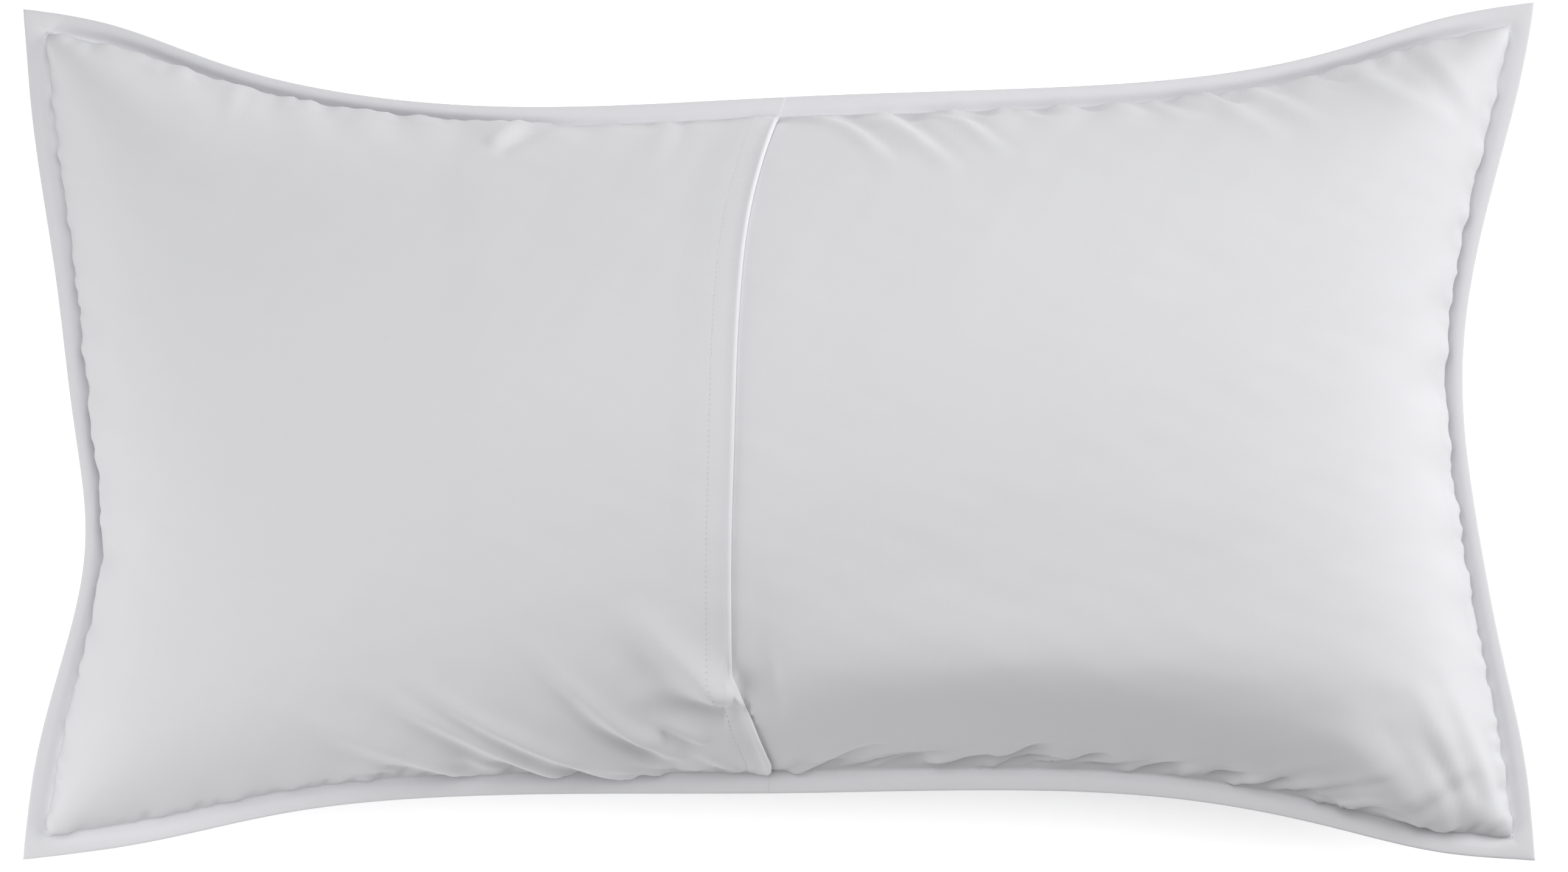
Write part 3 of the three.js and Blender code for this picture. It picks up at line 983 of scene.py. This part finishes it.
def insert_lines(half, step):
    """Grid lines across the insert, closer together towards its edge."""
    angle = np.linspace(-EDGE_ANGLE, EDGE_ANGLE, 2 * round(half / step) + 1)
    return half * np.sin(angle) / math.sin(EDGE_ANGLE)


def ticking_panel(name, side):
    a = insert_lines(INSERT_A, TICKING_STEP)[:, None]
    b = insert_lines(INSERT_B, TICKING_STEP)[None, :]
    outer, up = insert_place(a, b, side)
    inner, _ = insert_place(a, b, side, INSERT_CLEARANCE + TICKING)
    return shell(name, outer + up * side * TICKING_OUT, inner + up * side * TICKING_IN, a, b, side)


def fibre_fill():
    """One closed, slightly lumpy body."""
    a = insert_lines(INSERT_A - FILL_INSET, FILL_STEP)[:, None]
    b = insert_lines(INSERT_B - FILL_INSET, FILL_STEP)[None, :]
    faces = []
    for side in (1, -1):
        points, up = insert_place(a, b, side, FILL_CLEARANCE, FILL_INSET)
        lumps = drape_height(points[..., 0] * 2, points[..., 1] * 2) / DRAPE_HEIGHT / 2
        faces.append(lifted(points, up, -side * (1 + lumps) / 2 * FILL_LUMPS))
    return shell("fibre_fill", *faces, a, b)


def piping():
    places, _ = rectangle_walk(INSERT_A, INSERT_B, PIPING_STEP)
    a, b = places.T
    points, up = insert_place(a, b)
    return ring_tube("insert_edge_piping", points, up, PIPING_RADIUS)


def closing_stitches():
    """Slanting whip stitches that close the insert's left end after it was filled."""
    b = (spaced(WHIP_COUNT) - 0.5) * WHIP_SPAN
    points, up = insert_place(0 * b + WHIP_INSET - INSERT_A, b)
    heading = np.tile(WHIP_HEADING, (WHIP_COUNT, 1))
    return stitch_row("closing_whip_stitches", points + up * WHIP_LIFT, heading, up, WHIP_LENGTH,
                      WHIP_THREAD)


def label(name, low, size, level, place):
    """A blank folded tape label that lies along the cloth, from its corner at low."""
    a = low[0] + np.linspace(0, size[0], LABEL_LINES[0])[:, None]
    b = low[1] + np.linspace(0, size[1], LABEL_LINES[1])[None, :]
    level = level + LABEL_WAVE * np.sin(a * LABEL_WAVES[0]) * np.cos(b * LABEL_WAVES[1])
    return layer(name, *place(a, b), level + LABEL_HALF, level - LABEL_HALF, a, b)


# ---- materials
class Material:
    """A node material that is put together a node at a time."""

    def __init__(self, name):
        self.material = bpy.data.materials.new(name)
        self.material.use_nodes = True
        self.tree = self.material.node_tree

    def put(self, socket, value):
        if isinstance(value, bpy.types.NodeSocket):
            self.tree.links.new(value, socket)
        else:
            socket.default_value = value

    def set(self, node, inputs):
        """Sets or links a node's inputs, given by name with underscores for spaces."""
        for name, value in inputs.items():
            self.put(node.inputs[name.replace("_", " ")], value)

    def surface(self, **inputs):
        self.set(self.tree.nodes["Principled BSDF"], inputs)
        return self.material

    def node(self, kind, settings=None, **inputs):
        made = self.tree.nodes.new("ShaderNode" + kind)
        for key, value in (settings or {}).items():
            setattr(made, key, value)
        self.set(made, inputs)
        return made

    def math(self, operation, *values):
        made = self.node("Math", {"operation": operation})
        for socket, value in zip(made.inputs, values):
            self.put(socket, value)
        return made.outputs[0]

    def sum(self, first, share, second, other_share):
        parts = self.math("MULTIPLY", first, share), self.math("MULTIPLY", second, other_share)
        return self.math("ADD", *parts)

    def attribute(self, name, output):
        return self.node("Attribute", {"attribute_name": name}).outputs[output]

    def noise(self, vector, scale, detail=3, rough=0.55):
        inputs = {"Vector": vector, "Scale": scale, "Detail": detail, "Roughness": rough}
        return self.node("TexNoise", **inputs).outputs[0]

    def strands(self, vector, stretch, detail=2, rough=0.55):
        """Noise drawn out along one way."""
        stretched = self.node("Mapping", Vector=vector, Scale=stretch).outputs[0]
        return self.noise(stretched, 1, detail, rough)

    def wave(self, vector, direction, pitch, warp=0.4):
        inputs = {"Scale": math.tau / 20 / pitch, "Distortion": warp, "Detail": 1, "Detail_Scale": 0.08}
        settings = {"bands_direction": direction}
        return self.node("TexWave", settings, Vector=vector, **inputs).outputs["Fac"]

    def bump(self, **inputs):
        return self.node("Bump", **inputs).outputs[0]

    def mixed(self, factor, first, second):
        return self.node("MixRGB", Fac=factor, Color1=first, Color2=second).outputs[0]


def shaded(colour, amount=1):
    """A colour made darker or lighter, with full alpha."""
    return (*(min(1, c * amount) for c in colour), 1)


def woven_cotton(name, colour, pitch=0.42 * MM, sheen=0.25):
    """Smooth white percale: fine crossing yarns, a few slubs, and a soft bloom. A painted
    highlight makes its colour lighter along a hem's rounded edge."""
    m = Material(name)
    flat = m.attribute("flat", "Vector")
    weave = m.math("MULTIPLY", m.wave(flat, "X", pitch), m.wave(flat, "Y", pitch))
    slubs = m.math("ADD", m.strands(flat, (60, 1400, 1)), m.strands(flat, (1400, 60, 1)))
    shade = m.sum(slubs, 0.28, m.noise(flat, 14), 0.44)
    tone = m.mixed(shade, shaded(colour, 0.965), shaded(colour, 1.02))
    fine = m.bump(Height=weave, Distance=0.05 * MM, Strength=0.35)
    return m.surface(
        Base_Color=m.mixed(m.attribute("painted_hem_highlight", "Fac"), tone, shaded(HEM_HIGHLIGHT)),
        Normal=m.bump(Height=slubs, Distance=0.06 * MM, Strength=0.5, Normal=fine),
        Roughness=m.math("ADD", m.math("MULTIPLY", slubs, 0.08), 0.70),
        Sheen_Weight=sheen, Sheen_Roughness=0.45, Specular_IOR_Level=0.28)


def sewing_thread(name, colour):
    """Twisted thread with a slight gloss."""
    m = Material(name)
    twist = m.wave(m.node("TexCoord").outputs["Object"], "DIAGONAL", 0.45 * MM, 0.2)
    return m.surface(
        Base_Color=m.mixed(twist, shaded(colour, 0.86), shaded(colour)),
        Normal=m.bump(Height=twist, Distance=0.06 * MM, Strength=0.6),
        Roughness=0.5, Sheen_Weight=0.1)


def polyester_fibre(name, dark, light):
    """White polyester fibre: tangled strands over soft clumps."""
    m = Material(name)
    place = m.node("TexCoord").outputs["Object"]
    both = m.sum(m.strands(place, (900, 260, 500), 5, 0.7), 0.5, m.noise(place, 45, 4, 0.6), 0.5)
    return m.surface(
        Base_Color=m.mixed(both, shaded(dark), shaded(light)),
        Normal=m.bump(Height=both, Distance=1.2 * MM, Strength=0.7),
        Roughness=0.85, Sheen_Weight=0.4)


def satin_tape(name, dark, light):
    """Satin label tape: fine ribs, a little shine, and nothing printed."""
    m = Material(name)
    flat = m.attribute("flat", "Vector")
    ribs = m.wave(flat, "Y", 0.6 * MM, 0.3)
    return m.surface(
        Base_Color=m.mixed(m.noise(flat, 90), shaded(dark), shaded(light)),
        Normal=m.bump(Height=ribs, Distance=0.08 * MM, Strength=0.5),
        Roughness=0.38)


PERCALE = (0.700, 0.700, 0.722)
# The colour of the painted highlight along the hem's rounded edge, lighter than the percale.
HEM_HIGHLIGHT = (0.80, 0.80, 0.82)
TICKING_WHITE = (0.68, 0.68, 0.66)
THREAD_WHITE = (0.72, 0.72, 0.735)
# Each material slot's look.
LOOKS = {
    "sham_cotton": woven_cotton("white percale", PERCALE),
    "insert_ticking": woven_cotton("insert ticking", TICKING_WHITE, 0.6 * MM, 0.1),
    "sewing_thread": sewing_thread("white thread", THREAD_WHITE),
    "fibre_fill": polyester_fibre("polyester fibre", (0.72, 0.72, 0.70), (0.90, 0.90, 0.89)),
    "label_tape": satin_tape("label tape", (0.80, 0.80, 0.79), (0.90, 0.90, 0.89)),
}


# ---- the pieces
def finished(piece, slot, *nodes, body="pillow"):
    """Gives a piece its look and, unless body is None, its body, and hides the CAD nodes that it stands
    for.
    """
    piece.data.materials.append(LOOKS[slot])
    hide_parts(*nodes)
    if body:
        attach(piece, body)
    return piece


def outer_hem_stitches():
    return hem_stitches("hem_stitches", lambda b: hem_line(b) - HEM_STITCH,
                        lambda a, b: left_outer_level(a, b, 0 * a + HEM_STITCH))


def under_hem_stitches():
    return hem_stitches("under_hem_stitches", lambda b: 0 * b + UNDER_EDGE + HEM_STITCH, outer_level)


def care_tape():
    """Sewn into the upper seam, inside the sham."""
    low = (-265 * MM, SEAM_WIDTH / 2 - MM - CARE_LABEL[1])
    return label("care_tape", low, CARE_LABEL, -2.2 * MM, back.place)


def insert_tape():
    """Sewn into the insert's right end."""
    low = (INSERT_A - MM - INSERT_LABEL[0], -142 * MM)
    return label("insert_tape", low, INSERT_LABEL, 1.4 * MM, insert_place)


left = finished(left_panel(), "sham_cotton", "back_panel_left", "overlap_flap", body=None)
right = finished(right_panel(), "sham_cotton", "back_panel_right")
face = finished(front_panel(), "sham_cotton", "sham_front_panel")
allowance = finished(sewn_allowance(), "sham_cotton", "edge_seam_allowance")
flange_back = finished(flange_stitches("flange_stitches_back", back, back_level),
                       "sewing_thread", "flange_stitching_back")
flange_front = finished(flange_stitches("flange_stitches_front", front, outer_level),
                        "sewing_thread", "flange_stitching_front")
hem_thread = finished(outer_hem_stitches(), "sewing_thread", "overlap_hem_stitching", body=None)
under_thread = finished(under_hem_stitches(), "sewing_thread", "under_hem_stitching")
seam_thread = finished(seam_stitches(), "sewing_thread", "edge_seam_thread")
top_ticking = finished(ticking_panel("ticking_upper", 1), "insert_ticking", "insert_ticking_top")
low_ticking = finished(ticking_panel("ticking_lower", -1), "insert_ticking", "insert_ticking_bottom")
edge_piping = finished(piping(), "insert_ticking", "insert_piping")
fill = finished(fibre_fill(), "fibre_fill", "insert_fibre_fill")
whip = finished(closing_stitches(), "sewing_thread", "insert_closing_stitching")
care = finished(care_tape(), "label_tape", "care_label")
maker = finished(insert_tape(), "label_tape", "insert_label")

# The left panel and its hem's thread get their placement baked into their meshes.
for piece in (left, hem_thread):
    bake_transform(piece)

LEFT_FLAT = (HALF_A + hem_line(np.zeros(1))[0] + HEM_WIDTH, 2 * HALF_B)


# ---- floor, light and camera
WORLD_STRENGTH = 0.03
FLOOR_GLOW = 0.42
LIGHTS = [
    ("top light", (0.0, 0.85, 2.45), 2.05, 46),
    ("right light", (2.4, 0.4, 1.1), 1.6, 40),
    ("left light", (-2.4, -0.2, 1.1), 1.6, 13),
    ("near left light", (-1.0, -0.85, 0.55), 0.6, 5),
]
LIGHTS_AIM = Vector((0, 0, 0.1))
FLOOR_HALF = 4.0
FLOOR_DROP = 0.3 * MM
CAMERA_DISTANCE = 4.0
CAMERA_PLACE = (3 * MM, -3 * MM)
VIEW_MARGIN = 1.035
SENSOR_WIDTH = 36


def floor():
    m = Material("pale floor")
    look = m.surface(Base_Color=(0.93, 0.93, 0.93, 1), Roughness=0.9,
                     Emission_Color=(1, 1, 1, 1), Emission_Strength=FLOOR_GLOW)
    low, half = CAD_LOW.z - FLOOR_DROP, FLOOR_HALF
    points = np.array([[-half, -half, low], [half, -half, low], [half, half, low], [-half, half, low]])
    made = mesh_object("floor", points, np.array([[0, 1, 2, 3]]))
    made.data.materials.append(look)


def area_light(name, place, size, power):
    light = bpy.data.lights.new(name, "AREA")
    light.shape = "RECTANGLE"
    light.size = light.size_y = size
    light.energy = power
    made = bpy.data.objects.new(name, light)
    made.location = place
    made.rotation_euler = (LIGHTS_AIM - Vector(place)).to_track_quat("-Z", "Y").to_euler()
    bpy.context.scene.collection.objects.link(made)


def studio():
    """Soft light, mostly from above and from both ends, and least from the foot."""
    world = bpy.data.worlds.new("studio")
    world.use_nodes = True
    backdrop = world.node_tree.nodes["Background"]
    backdrop.inputs["Color"].default_value = (1, 1, 1, 1)
    backdrop.inputs["Strength"].default_value = WORLD_STRENGTH
    bpy.context.scene.world = world
    for name, place, size, power in LIGHTS:
        area_light(name, place, size, power)
    bpy.context.scene.view_settings.view_transform = "Standard"


def camera():
    """Straight above, with a long lens, the pillow's length across the picture."""
    seam_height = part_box("edge_seam_thread")[0].z
    data = bpy.data.cameras.new("camera")
    data.sensor_width = SENSOR_WIDTH
    data.lens = SENSOR_WIDTH * CAMERA_DISTANCE / (LENGTH * VIEW_MARGIN)
    made = bpy.data.objects.new("camera", data)
    made.location = (*CAMERA_PLACE, seam_height + CAMERA_DISTANCE)
    bpy.context.scene.collection.objects.link(made)
    bpy.context.scene.camera = made


floor()
studio()
camera()
